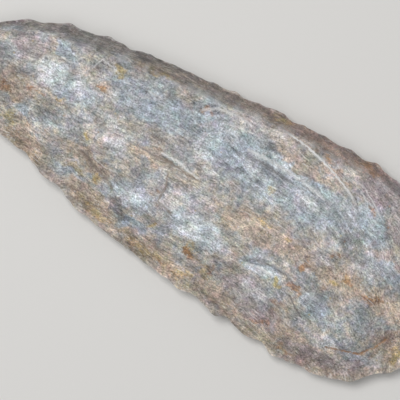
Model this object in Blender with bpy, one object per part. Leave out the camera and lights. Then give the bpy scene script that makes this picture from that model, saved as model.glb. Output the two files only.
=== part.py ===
import math

import bmesh
import bpy
import numpy as np

# Driving dimensions, in metres. The blade runs along X, lies on its flatter side and rests at z = 0.
BLADE_LENGTH = 0.117
BLADE_WIDTH = 0.044
BLADE_THICKNESS = 0.0118
RIM_HEIGHT = 0.0042
RIM_WAVE = 0.0005
REST_LENGTH = 0.042
REST_WIDTH = 0.020
BULB_HEIGHT = 0.0008

# Rows of flakes struck off along the edges: how far apart, how far in from the edge, how deep.
STEEP_FLAKE_PITCH = 0.0052
STEEP_FLAKE_REACH = 0.0046
STEEP_FLAKE_DEPTH = 0.0007
BROAD_FLAKE_PITCH = 0.0115
BROAD_FLAKE_REACH = 0.0130
BROAD_FLAKE_DEPTH = 0.0008
FINE_FLAKE_PITCH = 0.0044
FINE_FLAKE_REACH = 0.0044
FINE_FLAKE_DEPTH = 0.0004
UNDER_FLAKE_PITCH = 0.0105
UNDER_FLAKE_REACH = 0.0085
UNDER_FLAKE_DEPTH = 0.0010
SCALLOP_DEPTH = 0.0004
CHIP_WIDTH = 0.0030
RIPPLE_SPACING = 0.0065
STEEP_SEED = 3
BROAD_SEED = 5
FINE_SEED = 8
UNDER_UPPER_SEED = 12
UNDER_LOWER_SEED = 13

# The outline. Each pair is a share of the half length from the middle, then of the half width.
# Both edges start at the left end and finish at the right end.
LEFT_END_SHARES = (-1.0, -0.21)
RIGHT_END_SHARES = (1.0, 0.180)
UPPER_EDGE_SHARES = [
    LEFT_END_SHARES,
    (-0.976, 0.010),
    (-0.921, 0.210),
    (-0.809, 0.423),
    (-0.670, 0.564),
    (-0.530, 0.650),
    (-0.321, 0.755),
    (-0.111, 0.832),
    (0.094, 0.915),
    (0.304, 0.965),
    (0.453, 0.985),
    (0.544, 0.968),
    (0.692, 0.905),
    (0.820, 0.790),
    (0.915, 0.614),
    (0.974, 0.386),
    RIGHT_END_SHARES,
]
LOWER_EDGE_SHARES = [
    LEFT_END_SHARES,
    (-0.974, -0.405),
    (-0.897, -0.541),
    (-0.795, -0.623),
    (-0.715, -0.655),
    (-0.600, -0.700),
    (-0.462, -0.777),
    (-0.321, -0.860),
    (-0.111, -0.918),
    (0.094, -0.950),
    (0.304, -0.973),
    (0.513, -0.985),
    (0.651, -0.945),
    (0.762, -0.832),
    (0.860, -0.577),
    (0.930, -0.355),
    (0.978, -0.090),
    RIGHT_END_SHARES,
]

# Chips and teeth on each edge: a share of the half length, then how far the edge stands in or out
# there as a share of the half width.
UPPER_CHIP_SHARES = [
    (-0.80, -0.020),
    (-0.71, 0.018),
    (-0.61, -0.016),
    (-0.58, 0.022),
    (-0.49, -0.020),
    (-0.10, 0.016),
    (0.04, 0.017),
    (0.12, -0.018),
    (0.40, -0.012),
    (0.45, 0.022),
]
LOWER_CHIP_SHARES = [
    (-0.61, -0.023),
    (-0.51, 0.023),
    (-0.44, -0.012),
    (-0.36, 0.020),
    (0.08, 0.013),
    (0.16, -0.016),
    (0.25, 0.023),
    (0.29, -0.026),
    (0.38, 0.014),
    (0.44, -0.030),
    (0.50, 0.025),
    (0.60, -0.015),
    (0.78, 0.018),
    (0.83, -0.017),
    (0.87, 0.020),
]

# Large flakes struck off the faces. Each spreads from a struck point, given as shares of the half
# length and half width, and runs off at an angle in degrees. Then come its length, its half width
# at the far end and its depth as shares of the blade's length, width and thickness. The first few on
# the top were struck from beyond the lower edge and end in curved ripples.
TOP_FLAKE_SHARES = [
    (0.123, -1.16, 81, 0.365, 0.44, 0.095),
    (-0.376, -1.09, 88, 0.325, 0.34, 0.075),
    (-0.718, -0.77, 97, 0.230, 0.25, 0.080),
    (0.830, -0.95, 108, 0.320, 0.34, 0.085),
    (-0.86, -0.22, -3, 0.38, 0.13, 0.085),
    (-0.17, -0.24, 3, 0.25, 0.13, 0.120),
    (0.20, -0.20, 6, 0.24, 0.14, 0.110),
    (0.97, 0.10, 176, 0.25, 0.21, 0.095),
    (-0.62, 0.40, 1, 0.30, 0.14, 0.095),
]
UNDER_FLAKE_SHARES = [
    (-0.96, -0.15, 8, 0.30, 0.20, 0.070),
    (0.62, 0.95, 222, 0.19, 0.24, 0.090),
    (0.80, -0.75, 150, 0.20, 0.22, 0.080),
    (-0.30, 0.95, 262, 0.11, 0.22, 0.070),
]
RIPPLED_TOP_FLAKES = 4
RIPPLE_SHARE = 0.14
LARGE_FLAKE_START = 0.55
LARGE_FLAKE_END_SLOPE = 8

# A small flake's half width, as a share of the usual one, at the edge and what it gains inwards.
SMALL_FLAKE_START = 0.8
SMALL_FLAKE_GAIN = 0.5

# The two waves in the sharp edge: how fast each turns along the half length, in radians, and how
# high the second is beside the first.
RIM_TURNS = 10.0
SECOND_RIM_TURNS = 24.0
SECOND_RIM_SHARE = 0.6

# How the faces lie: the slopes of the two flanks of the top, where the crown between them is
# highest, how far it falls from there to the edges and to the ends, and how full the underside is.
STEEP_ANGLE = math.radians(62)
GENTLE_ANGLE = math.radians(31)
RIDGE_ROUNDING = 0.0004
CREST = 0.12
UPPER_FALL = 0.42
LOWER_FALL = 0.26
END_FALL = 0.5
UNDER_FULLNESS = 1.6
REST_PLACE = 0.07
BULB_PLACE = 0.66
BULB_SPREAD = 0.20

# What carving leaves at the least, as a share of the face's height above or below the edge, and
# how close to the edge the two faces draw together.
LEAST_TOP_SHARE = 0.35
LEAST_UNDER_SHARE = 0.3
EDGE_CLOSING = 40

# How finely the surface is divided.
ROWS = 150
TOP_COLUMNS = 18
UNDER_COLUMNS = 12
EDGE_POINTS = 900
EVEN_SHARE = 0.6
SHARP_ANGLE = math.radians(32)

HALF_LENGTH = BLADE_LENGTH / 2
HALF_WIDTH = BLADE_WIDTH / 2
STONE_COLOUR = (0.36, 0.335, 0.315, 1)
STONE_ROUGHNESS = 0.5


def clear_scene():
    for item in list(bpy.data.objects):
        bpy.data.objects.remove(item, do_unlink=True)


def stone_material():
    material = bpy.data.materials.new("flint")
    material.use_nodes = True
    shader = material.node_tree.nodes["Principled BSDF"]
    shader.inputs["Base Color"].default_value = STONE_COLOUR
    shader.inputs["Roughness"].default_value = STONE_ROUGHNESS
    shader.inputs["Metallic"].default_value = 0.0
    return material


def curve_through(points, at):
    """A smooth curve through (place, value) points, read at the places given."""
    place, value = np.array(points).T
    slope = np.gradient(value, place)
    i = np.clip(np.searchsorted(place, at) - 1, 0, len(place) - 2)
    span = place[i + 1] - place[i]
    t = (at - place[i]) / span
    first = value[i] * (1 + 2 * t) + slope[i] * span * t
    last = value[i + 1] * (3 - 2 * t) + slope[i + 1] * span * (t - 1)
    return first * (1 - t) ** 2 + last * t**2


def turns(count):
    """The angle that sets each row's place along the blade, from 0 at the left end to pi at the
    right end: rows are nearly even in the middle and closer together at the round ends."""
    even = np.linspace(-1, 1, count)
    along = EVEN_SHARE * even + (1 - EVEN_SHARE) * np.sin(even * math.pi / 2)
    return np.arccos(-np.clip(along, -1, 1))


def hollow_profile(inwards):
    """How deep a flake's hollow is on the way in from the edge: 0 at both ends and 1 at its deepest,
    a third of the way in."""
    return 1.5 * math.sqrt(3) * np.sqrt(inwards) * (1 - inwards)


def flake_row(distance, along, length, pitch, reach, depth, seed):
    """What a row of flakes takes off: hollows side by side, each a little slanted and wider at its
    inner end, with a ridge where two of them meet."""
    chance = np.random.default_rng(seed)
    taken = np.zeros_like(along)
    count = max(round(length / pitch), 1)
    for i in range(count):
        middle = (i + 0.5 + chance.uniform(-0.25, 0.25)) * length / count
        inwards = np.clip(distance / (reach * chance.uniform(0.65, 1.2)), 0, 1)
        half = pitch * chance.uniform(0.48, 0.72) * (SMALL_FLAKE_START + SMALL_FLAKE_GAIN * inwards)
        slant = chance.uniform(-0.35, 0.35) * pitch * inwards
        across = np.clip(1 - ((along - middle - slant) / half) ** 2, 0, 1)
        deepest = depth * chance.uniform(0.6, 1.1)
        taken = np.maximum(taken, deepest * across * hollow_profile(inwards))
    return taken


def steep_flakes(*place):
    return flake_row(*place, STEEP_FLAKE_PITCH, STEEP_FLAKE_REACH, STEEP_FLAKE_DEPTH, STEEP_SEED)


def broad_flakes(*place):
    return flake_row(*place, BROAD_FLAKE_PITCH, BROAD_FLAKE_REACH, BROAD_FLAKE_DEPTH, BROAD_SEED)


def fine_flakes(*place):
    return flake_row(*place, FINE_FLAKE_PITCH, FINE_FLAKE_REACH, FINE_FLAKE_DEPTH, FINE_SEED)


def under_flakes(place, seed):
    return flake_row(*place, UNDER_FLAKE_PITCH, UNDER_FLAKE_REACH, UNDER_FLAKE_DEPTH, seed)


def large_flakes(x, y, flakes, rippled):
    """What the large flakes take off: shallow troughs that widen on the way from the struck point
    and end in an arc around it. The first few are rippled, more so towards their end."""
    taken = np.zeros_like(x)
    for i, (along, across, degrees, long, half, deep) in enumerate(flakes):
        cos, sin = math.cos(math.radians(degrees)), math.sin(math.radians(degrees))
        dx = x - along * HALF_LENGTH
        dy = y - across * HALF_WIDTH
        away = np.hypot(dx, dy)
        run = np.clip(away / (long * BLADE_LENGTH), 0, 1)
        spread = half * BLADE_WIDTH * (LARGE_FLAKE_START + (1 - LARGE_FLAKE_START) * run)
        side = (dy * cos - dx * sin) / spread
        ahead = np.clip(4 * (dx * cos + dy * sin) / (long * BLADE_LENGTH), 0, 1)
        hollow = np.clip(1 - side**2, 0, 1) * ahead * np.clip(LARGE_FLAKE_END_SLOPE * (1 - run), 0, 1)
        if i < rippled:
            ripple = np.cos(2 * math.pi * (long * BLADE_LENGTH - away) / RIPPLE_SPACING)
            hollow *= 1 - RIPPLE_SHARE * ripple * run
        taken = np.maximum(taken, deep * BLADE_THICKNESS * hollow)
    return taken


def edge_lines(stations, chips, outwards, flakes):
    """One sharp edge seen from above: its smooth line, how far along that each point is, and the
    line with its chips and with the scallops that the flakes leave in it."""
    turn = turns(EDGE_POINTS)
    by_turn = [(math.acos(-along / RIGHT_END_SHARES[0]), across) for along, across in stations]
    line = np.stack([-HALF_LENGTH * np.cos(turn), HALF_WIDTH * curve_through(by_turn, turn)], axis=1)
    steps = np.diff(line, axis=0)
    along = np.concatenate([[0.0], np.cumsum(np.hypot(*steps.T))])
    offset = np.zeros(EDGE_POINTS)
    for place, size in chips:
        away = (along - np.interp(place * HALF_LENGTH, line[:, 0], along)) / (CHIP_WIDTH / 2)
        offset += size * HALF_WIDTH * np.exp(-(away**2))
    hollow = flakes(np.full(EDGE_POINTS, FINE_FLAKE_REACH / 3), along, along[-1])
    offset -= SCALLOP_DEPTH * (hollow - hollow.mean()) / hollow.max() * np.sin(turn)
    slope = np.gradient(line, axis=0)
    normal = np.stack([-slope[:, 1], slope[:, 0]], axis=1) * outwards
    normal /= np.linalg.norm(normal, axis=1, keepdims=True)
    return line, along, line + normal * offset[:, None]


def nearest_on(edge, x, y):
    """Each surface point's distance from the smooth edge, how far along it the nearest point is,
    and the edge's whole length."""
    line, along = edge[:2]
    gap = np.hypot(x[..., None] - line[:, 0], y[..., None] - line[:, 1])
    return gap.min(axis=-1), along[gap.argmin(axis=-1)], along[-1]


def rim_height(x, y, turn):
    """The height of the sharp edge, which winds gently up and down, fading away from the edge."""
    wave = np.sin(RIM_TURNS * x / HALF_LENGTH)
    wave = wave + SECOND_RIM_SHARE * np.sin(1 + SECOND_RIM_TURNS * x / HALF_LENGTH)
    outside = np.clip(np.abs(y) / HALF_WIDTH, 0, 1)
    return RIM_HEIGHT + RIM_WAVE * wave * np.sin(turn) * outside**3


def lowest_of(*heights):
    """The lowest of several faces, rounded a little along the ridges where they meet."""
    return -RIDGE_ROUNDING * np.log(sum(np.exp(-height / RIDGE_ROUNDING) for height in heights))


def top_height(x, y, v, turn, upper, lower):
    """The top: a crowned face with a steep flank down to the upper edge and a gentle one down to
    the lower edge, less what the flakes took off. v is -1 on the lower edge, 1 on the upper one."""
    near_upper, near_lower = nearest_on(upper, x, y), nearest_on(lower, x, y)
    side = (y / HALF_WIDTH - CREST) / (1 - CREST)
    fall = np.where(side > 0, UPPER_FALL, LOWER_FALL) * side**2
    crown = (BLADE_THICKNESS - RIM_HEIGHT) * np.sin(turn) ** END_FALL * (1 - fall)
    flanks = near_upper[0] * math.tan(STEEP_ANGLE), near_lower[0] * math.tan(GENTLE_ANGLE)
    rise = np.maximum(lowest_of(crown, *flanks), 0)
    taken = np.maximum.reduce([
        large_flakes(x, y, TOP_FLAKE_SHARES, RIPPLED_TOP_FLAKES),
        steep_flakes(*near_upper),
        broad_flakes(*near_lower),
        fine_flakes(*near_lower),
    ])
    left = np.maximum(rise - taken, LEAST_TOP_SHARE * rise)
    return rim_height(x, y, turn) + left * (1 - v**EDGE_CLOSING)


def rest_corners():
    """The corners of the flat spot: one towards the left end and two towards the right end."""
    middle = REST_PLACE * HALF_LENGTH
    far = middle + REST_LENGTH / 2
    return (middle - REST_LENGTH / 2, 0), (far, -REST_WIDTH / 2), (far, REST_WIDTH / 2)


def outside_rest(x, y):
    """How far outside the three-cornered flat spot a point lies, square to its nearest side."""
    beyond = x - REST_PLACE * HALF_LENGTH - REST_LENGTH / 2
    lean = math.atan2(REST_WIDTH / 2, REST_LENGTH)
    beside = (np.abs(y) - REST_WIDTH / 2) * math.cos(lean) - beyond * math.sin(lean)
    return np.maximum(np.maximum(beside, beyond), 0)


def under_height(x, y, turn, upper, lower):
    """The underside: a flat spot that the blade rests on, a smooth rise from there to the edge all
    round, a low bulb near the broad end, and flakes that fade out at the flat spot and the edge."""
    from_rest = outside_rest(x, y)
    near_upper, near_lower = nearest_on(upper, x, y), nearest_on(lower, x, y)
    from_edge = np.minimum(near_upper[0], near_lower[0])
    share = from_rest / (from_rest + from_edge)
    bulb_away = np.hypot(x - BULB_PLACE * HALF_LENGTH, y) / (BULB_SPREAD * BLADE_LENGTH / 2)
    bulb = BULB_HEIGHT * np.exp(-(bulb_away**2))
    taken = np.maximum.reduce([
        large_flakes(x, y, UNDER_FLAKE_SHARES, 0),
        under_flakes(near_upper, UNDER_UPPER_SEED),
        under_flakes(near_lower, UNDER_LOWER_SEED),
    ])
    rise = rim_height(x, y, turn) * share**UNDER_FULLNESS
    return np.maximum(rise - bulb, LEAST_UNDER_SHARE * rise) + taken * (share - share**6)


def across_shares(count):
    """Where the columns lie between the lower edge at -1 and the upper edge at 1, closer together
    near the edges."""
    return np.sin(np.linspace(-math.pi / 2, math.pi / 2, count + 1))


def sheet(turn, v, upper, lower):
    """A grid of places seen from above, one row for each angle, ruled from edge to edge."""
    share = (v[None, :, None] + 1) / 2
    high, low = (
        np.stack([np.interp(turn, turns(EDGE_POINTS), edge[2][:, i]) for i in (0, 1)], axis=-1)
        for edge in (upper, lower)
    )
    places = low[:, None] * (1 - share) + high[:, None] * share
    return places[..., 0], places[..., 1]


def with_corners(x, y, corners):
    """The grid with the nearest of its points moved onto each corner."""
    for along, across in corners:
        nearest = np.unravel_index(np.hypot(x - along, y - across).argmin(), x.shape)
        x[nearest], y[nearest] = along, across
    return x, y


def blade_rings():
    """The blade's cross-sections as closed rings of points, over the top and back underneath."""
    upper = edge_lines(UPPER_EDGE_SHARES, UPPER_CHIP_SHARES, 1, steep_flakes)
    lower = edge_lines(LOWER_EDGE_SHARES, LOWER_CHIP_SHARES, -1, fine_flakes)
    turn = turns(ROWS + 2)[1:-1]
    column = turn[:, None]
    over = across_shares(TOP_COLUMNS)
    x, y = sheet(turn, over, upper, lower)
    top = np.stack([x, y, top_height(x, y, over, column, upper, lower)], axis=-1)
    back = across_shares(UNDER_COLUMNS)[-2:0:-1]
    x, y = with_corners(*sheet(turn, back, upper, lower), rest_corners())
    under = np.stack([x, y, under_height(x, y, column, upper, lower)], axis=-1)
    return np.concatenate([top, under], axis=1)


def build_blade():
    """The blade as one closed mesh: neighbouring rings joined by faces, with a point at each end."""
    mesh = bpy.data.meshes.new("flint_blade")
    blade = bmesh.new()
    rings = [[blade.verts.new(point) for point in ring] for ring in blade_rings()]
    for ring, following in zip(rings, rings[1:]):
        for i in range(len(ring)):
            blade.faces.new((ring[i - 1], ring[i], following[i], following[i - 1]))
    for (along, across), ring in ((LEFT_END_SHARES, rings[0]), (RIGHT_END_SHARES, rings[-1])):
        end = blade.verts.new((along * HALF_LENGTH, across * HALF_WIDTH, RIM_HEIGHT))
        for i in range(len(ring)):
            blade.faces.new((ring[i - 1], ring[i], end))
    bmesh.ops.recalc_face_normals(blade, faces=blade.faces)
    blade.to_mesh(mesh)
    blade.free()
    mesh.materials.append(stone_material())
    mesh.shade_smooth()
    mesh.set_sharp_from_angle(angle=SHARP_ANGLE)
    bpy.context.collection.objects.link(bpy.data.objects.new("flint_blade", mesh))


clear_scene()
build_blade()
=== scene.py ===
import math

import bpy
import numpy as np
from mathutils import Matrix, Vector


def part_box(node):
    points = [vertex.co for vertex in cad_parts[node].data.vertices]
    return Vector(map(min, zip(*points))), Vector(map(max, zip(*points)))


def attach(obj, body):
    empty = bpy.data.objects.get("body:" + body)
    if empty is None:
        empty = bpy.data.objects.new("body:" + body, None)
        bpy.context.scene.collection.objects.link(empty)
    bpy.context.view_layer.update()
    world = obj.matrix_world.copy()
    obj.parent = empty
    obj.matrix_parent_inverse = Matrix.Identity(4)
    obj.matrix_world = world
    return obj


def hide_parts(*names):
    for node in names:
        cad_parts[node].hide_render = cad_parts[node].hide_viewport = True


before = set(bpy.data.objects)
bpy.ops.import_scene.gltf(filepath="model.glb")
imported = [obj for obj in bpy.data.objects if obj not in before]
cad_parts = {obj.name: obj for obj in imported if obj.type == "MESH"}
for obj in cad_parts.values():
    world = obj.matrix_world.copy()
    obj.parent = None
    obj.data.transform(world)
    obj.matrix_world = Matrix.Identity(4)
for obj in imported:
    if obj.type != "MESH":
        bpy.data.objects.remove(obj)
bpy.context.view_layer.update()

mm = 0.001
cadLow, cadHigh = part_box("flint_blade")
print("the frame is loaded")

# the blade's form, in metres: the same one as in the solid
form = {
    "length": cadHigh.x - cadLow.x,
    "width": 44.0 * mm,
    "thickness": 11.8 * mm,
    "rimHeight": 4.2 * mm,
    "rimWave": 0.5 * mm,
    "rimTurns": 10.0,
    "secondRimTurns": 24.0,
    "secondRimShare": 0.6,
    "restLength": 42.0 * mm,
    "restWidth": 20.0 * mm,
    "restPlace": 0.07,
    "bulbHeight": 0.8 * mm,
    "bulbPlace": 0.66,
    "bulbSpread": 0.20,
    "steepAngle": math.radians(62),
    "gentleAngle": math.radians(31),
    "ridgeRounding": 0.4 * mm,
    "crest": 0.12,
    "upperFall": 0.42,
    "lowerFall": 0.26,
    "endFall": 0.5,
    "underFullness": 1.6,
    "leastTopShare": 0.35,
    "leastUnderShare": 0.3,
    "edgeClosing": 40,
    "scallopDepth": 0.4 * mm,
    "scallopLine": 3,
    "chipWidth": 3.0 * mm,
    "rippleSpacing": 6.5 * mm,
    "rippleShare": 0.14,
    "rippledFlakes": 4,
    "largeFlakeStart": 0.55,
    "largeFlakeRise": 4,
    "largeFlakeEndSlope": 8,
    "smallFlakeStart": 0.8,
    "smallFlakeGain": 0.5,
    "nibbleShare": 0.8,
    "underClosing": 6,
}
halfLength = form["length"] / 2
halfWidth = form["width"] / 2

# rows of flakes along the edges: pitch, reach inwards, depth, how far out of step, seed
flakeRows = {
    "steep": (5.2 * mm, 4.6 * mm, 0.7 * mm, 0.25, 3),
    "broad": (11.5 * mm, 13.0 * mm, 0.8 * mm, 0.25, 5),
    "fine": (4.4 * mm, 4.4 * mm, 0.4 * mm, 0.25, 8),
    "underUpper": (10.5 * mm, 8.5 * mm, 1.0 * mm, 0.25, 12),
    "underLower": (10.5 * mm, 8.5 * mm, 1.0 * mm, 0.25, 13),
    "steepNibble": (2.3 * mm, 1.9 * mm, 0.22 * mm, 0.7, 21),
    "lowerNibble": (2.2 * mm, 1.7 * mm, 0.16 * mm, 0.7, 22),
    "steepSecond": (3.6 * mm, 3.8 * mm, 0.3 * mm, 0.5, 23),
}

# how much the flakes of one row differ: factors of the reach, the half width and the depth, and a
# slant in pitches
flakeVariety = {
    "reach": (0.65, 1.2),
    "half": (0.48, 0.72),
    "slant": (-0.35, 0.35),
    "depth": (0.6, 1.1),
}

# the outline, as shares of the half length and half width
leftEnd = (-1.0, -0.21)
rightEnd = (1.0, 0.180)
upperLine = [
    leftEnd, (-0.976, 0.010), (-0.921, 0.210), (-0.809, 0.423), (-0.670, 0.564), (-0.530, 0.650),
    (-0.321, 0.755), (-0.111, 0.832), (0.094, 0.915), (0.304, 0.965), (0.453, 0.985), (0.544, 0.968),
    (0.692, 0.905), (0.820, 0.790), (0.915, 0.614), (0.974, 0.386), rightEnd,
]
lowerLine = [
    leftEnd, (-0.974, -0.405), (-0.897, -0.541), (-0.795, -0.623), (-0.715, -0.655), (-0.600, -0.700),
    (-0.462, -0.777), (-0.321, -0.860), (-0.111, -0.918), (0.094, -0.950), (0.304, -0.973),
    (0.513, -0.985), (0.651, -0.945), (0.762, -0.832), (0.860, -0.577), (0.930, -0.355),
    (0.978, -0.090), rightEnd,
]
upperChips = [
    (-0.80, -0.020), (-0.71, 0.018), (-0.61, -0.016), (-0.58, 0.022), (-0.49, -0.020),
    (-0.10, 0.016), (0.04, 0.017), (0.12, -0.018), (0.40, -0.012), (0.45, 0.022),
]
lowerChips = [
    (-0.61, -0.023), (-0.51, 0.023), (-0.44, -0.012), (-0.36, 0.020), (0.08, 0.013),
    (0.16, -0.016), (0.25, 0.023), (0.29, -0.026), (0.38, 0.014), (0.44, -0.030),
    (0.50, 0.025), (0.60, -0.015), (0.78, 0.018), (0.83, -0.017), (0.87, 0.020),
]

# large flakes: struck point as shares, degrees, then length, half width and depth as shares
topFlakes = [
    (0.123, -1.16, 81, 0.365, 0.44, 0.095),
    (-0.376, -1.09, 88, 0.325, 0.34, 0.075),
    (-0.718, -0.77, 97, 0.230, 0.25, 0.080),
    (0.830, -0.95, 108, 0.320, 0.34, 0.085),
    (-0.86, -0.22, -3, 0.38, 0.13, 0.085),
    (-0.17, -0.24, 3, 0.25, 0.13, 0.120),
    (0.20, -0.20, 6, 0.24, 0.14, 0.110),
    (0.97, 0.10, 176, 0.25, 0.21, 0.095),
    (-0.62, 0.40, 1, 0.30, 0.14, 0.095),
]
underFlakes = [
    (-0.96, -0.15, 8, 0.30, 0.20, 0.070),
    (0.62, 0.95, 222, 0.19, 0.24, 0.090),
    (0.80, -0.75, 150, 0.20, 0.22, 0.080),
    (-0.30, 0.95, 262, 0.11, 0.22, 0.070),
]

# how finely the surface is divided, and how many points round a place count as its neighbours
grid = {
    "rows": 440,
    "topColumns": 152,
    "underColumns": 66,
    "edgePoints": 900,
    "rowEvenness": 0.6,
    "columnEvenness": 0.65,
    "blocks": 44,
    "topReach": 5,
    "underReach": 3,
    "sharpAngle": math.radians(58),
}

# the relief that is finer than the solid's, in millimetres; a noise is (cell, height, seed), and a
# streak (length, width, height, seed)
relief = {
    "roughness": [(7.0, 0.20, 31), (3.2, 0.15, 32), (1.5, 0.085, 33), (0.75, 0.045, 34)],
    "streaks": [(9.0, 1.7, 0.080, 41), (4.0, 0.9, 0.050, 42)],
    "streakCentre": 7.5,
    "rightBend": 110.0,
    "leftBend": 520.0,
    "wander": (7.0, 1.6, 43),
    "pitCell": 2.1,
    "pitDepth": 0.14,
    "pitRadius": 0.55,
    "pitSeed": 61,
    "rimNoise": [(1.6, 0.10, 51), (0.8, 0.06, 52)],
    "rimRow": 3.5,
    "noiseCells": 256,
    "noiseGain": 1.5,
    "edgeFade": 1.2,
    "restFade": 5,
    "underShare": 0.75,
    "underSeeds": 7,
    # the height that the painted ridge highlights and hollow shade are measured in
    "ridgeHeight": 0.1,
}

# curved ripples round one struck point, in millimetres, steeper on the outer side of each arc
ripples = {
    "centre": (7.2, -25.6),
    "fade": 3,
    "outerSpread": 0.5,
    "innerSpread": 6,
    "arcs": [  # radius, from x, to x, height, width
        (36.0, -7.0, 24.0, 0.14, 0.45),
        (39.3, -12.0, 30.0, 0.08, 0.35),
        (42.7, 4.0, 29.0, 0.26, 0.38),
        (45.7, 22.0, 34.0, 0.16, 0.40),
    ],
}

# a hinged step, in millimetres
hingeScar = {
    "points": [(13.4, -9.1), (18.5, -7.0), (22.4, -6.7), (24.8, -7.3)],
    "depth": 0.42,
    "drop": 0.3,
    "fade": 2.6,
    "startFade": 2,
    "endFade": 3,
    "beyond": 2,
}

# the cracks that are also drawn in colour
hingeCrack = [(25.1, -9.9), (27.0, -11.2), (29.6, -12.3)]
narrowCrack = [(-45.0, -4.7), (-38.0, -5.0)]
lowerCrack = [(-26.0, -8.6), (-21.0, -9.6), (-16.5, -11.3)]

# cracks: points in millimetres, then depth and width; a depth below 0 is a raised seam
cracks = [
    (hingeCrack, 0.20, 0.24),
    ([(37.3, -14.8), (40.4, -13.6), (43.7, -12.3), (46.6, -6.8)], 0.20, 0.24),
    ([(-34.0, 3.4), (-31.7, 9.3), (-27.5, 8.9)], -0.18, 0.30),
    ([(-11.5, -1.0), (-8.0, -0.7), (-4.5, -0.9)], 0.11, 0.25),
    ([(-11.5, -0.2), (-8.0, 0.1), (-3.2, -0.2)], -0.15, 0.28),
    ([(-4.5, 15.5), (-7.2, 7.0), (-8.5, -1.0), (-6.8, -5.0), (-6.6, -9.0), (-3.5, -9.3)], 0.14, 0.30),
    ([(24.8, 15.4), (28.0, 14.0), (31.4, 11.4)], -0.18, 0.28),
    (narrowCrack, 0.12, 0.22),
    (lowerCrack, 0.16, 0.30),
]


# a smooth curve through (place, value) points: cubic pieces that share their slopes
def curveThrough(points, at):
    place, value = np.array(points).T
    slope = np.gradient(value, place)
    i = np.clip(np.searchsorted(place, at) - 1, 0, len(place) - 2)
    span = place[i + 1] - place[i]
    t = (at - place[i]) / span
    first = value[i] * (1 + 2 * t) + slope[i] * span * t
    last = value[i + 1] * (3 - 2 * t) + slope[i + 1] * span * (t - 1)
    return first * (1 - t) ** 2 + last * t**2


# an even run from -1 to 1 mixed with its sine, which draws the places towards both ends
def mixedRun(count, evenness):
    even = np.linspace(-1, 1, count)
    return evenness * even + (1 - evenness) * np.sin(even * math.pi / 2)


# row angles from 0 to pi: the arc cosine of a mixed run
def rowTurns(count):
    return np.arccos(-np.clip(mixedRun(count, grid["rowEvenness"]), -1, 1))


# column shares from -1 to 1: a mixed run with both its ends
def columnShares(count):
    return mixedRun(count + 1, grid["columnEvenness"])


# the cosine and sine of an angle in degrees
def direction(degrees=0):
    angle = math.radians(degrees)
    return math.cos(angle), math.sin(angle)


# a hollow's depth on the way in: root of the share times what is left of it, 1 at its deepest
def hollowProfile(inwards):
    return 1.5 * math.sqrt(3) * np.sqrt(inwards) * (1 - inwards)


# the deepest of the hollows side by side, each a parabola across and the profile above inwards
def flakeRow(name, distance, along, length):
    pitch, reach, depth, astray, seed = flakeRows[name]
    chance = np.random.default_rng(seed)
    taken = np.zeros_like(along)
    count = max(round(length / pitch), 1)
    for i in range(count):
        middle = (i + 0.5 + chance.uniform(-astray, astray)) * length / count
        inwards = np.clip(distance / (reach * chance.uniform(*flakeVariety["reach"])), 0, 1)
        widening = form["smallFlakeStart"] + form["smallFlakeGain"] * inwards
        half = pitch * chance.uniform(*flakeVariety["half"]) * widening
        slant = chance.uniform(*flakeVariety["slant"]) * pitch * inwards
        across = np.clip(1 - ((along - middle - slant) / half) ** 2, 0, 1)
        deepest = depth * chance.uniform(*flakeVariety["depth"])
        taken = np.maximum(taken, deepest * across * hollowProfile(inwards))
    return taken


# troughs that widen from the struck point and end in an arc round it, with a cosine ripple
def largeFlakes(x, y, flakes, rippled):
    taken = np.zeros_like(x)
    for i, (along, across, degrees, share, half, deep) in enumerate(flakes):
        cos, sin = direction(degrees)
        reach = share * form["length"]
        dx = x - along * halfLength
        dy = y - across * halfWidth
        away = np.hypot(dx, dy)
        run = np.clip(away / reach, 0, 1)
        start = form["largeFlakeStart"]
        side = (dy * cos - dx * sin) / (half * form["width"] * (start + (1 - start) * run))
        ahead = np.clip(form["largeFlakeRise"] * (dx * cos + dy * sin) / reach, 0, 1)
        ending = np.clip(form["largeFlakeEndSlope"] * (1 - run), 0, 1)
        hollow = np.clip(1 - side**2, 0, 1) * ahead * ending
        if i < rippled:
            ripple = np.cos(2 * math.pi * (reach - away) / form["rippleSpacing"])
            hollow *= 1 - form["rippleShare"] * ripple * run
        taken = np.maximum(taken, deep * form["thickness"] * hollow)
    return taken


# noise from random slopes at lattice corners, blended by 6t^5 - 15t^4 + 10t^3
def slopeNoise(u, v, seed):
    chance = np.random.default_rng(seed)
    size = relief["noiseCells"]
    angles = chance.uniform(0, 2 * math.pi, (size, size))
    i, j = np.floor(u).astype(int), np.floor(v).astype(int)
    fu, fv = u - i, v - j
    bu, bv = (f**3 * (f * (f * 6 - 15) + 10) for f in (fu, fv))

    def corner(di, dj):
        angle = angles[(i + di) % size, (j + dj) % size]
        return np.cos(angle) * (fu - di) + np.sin(angle) * (fv - dj)

    low = corner(0, 0) * (1 - bu) + corner(1, 0) * bu
    high = corner(0, 1) * (1 - bu) + corner(1, 1) * bu
    return relief["noiseGain"] * (low * (1 - bv) + high * bv)


# the distance to the nearest of one random point in each lattice cell, and that point's own number
def nearestSpots(u, v, seed):
    chance = np.random.default_rng(seed)
    size = relief["noiseCells"]
    offset = chance.uniform(0, 1, (size, size, 2))
    number = chance.uniform(0, 1, (size, size))
    i, j = np.floor(u).astype(int), np.floor(v).astype(int)
    best = np.full(u.shape, np.inf)
    picked = np.zeros(u.shape)
    for di in (-1, 0, 1):
        for dj in (-1, 0, 1):
            a, b = (i + di) % size, (j + dj) % size
            gap = np.hypot(i + di + offset[a, b, 0] - u, j + dj + offset[a, b, 1] - v)
            closer = gap < best
            best = np.where(closer, gap, best)
            picked = np.where(closer, number[a, b], picked)
    return best, picked


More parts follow.
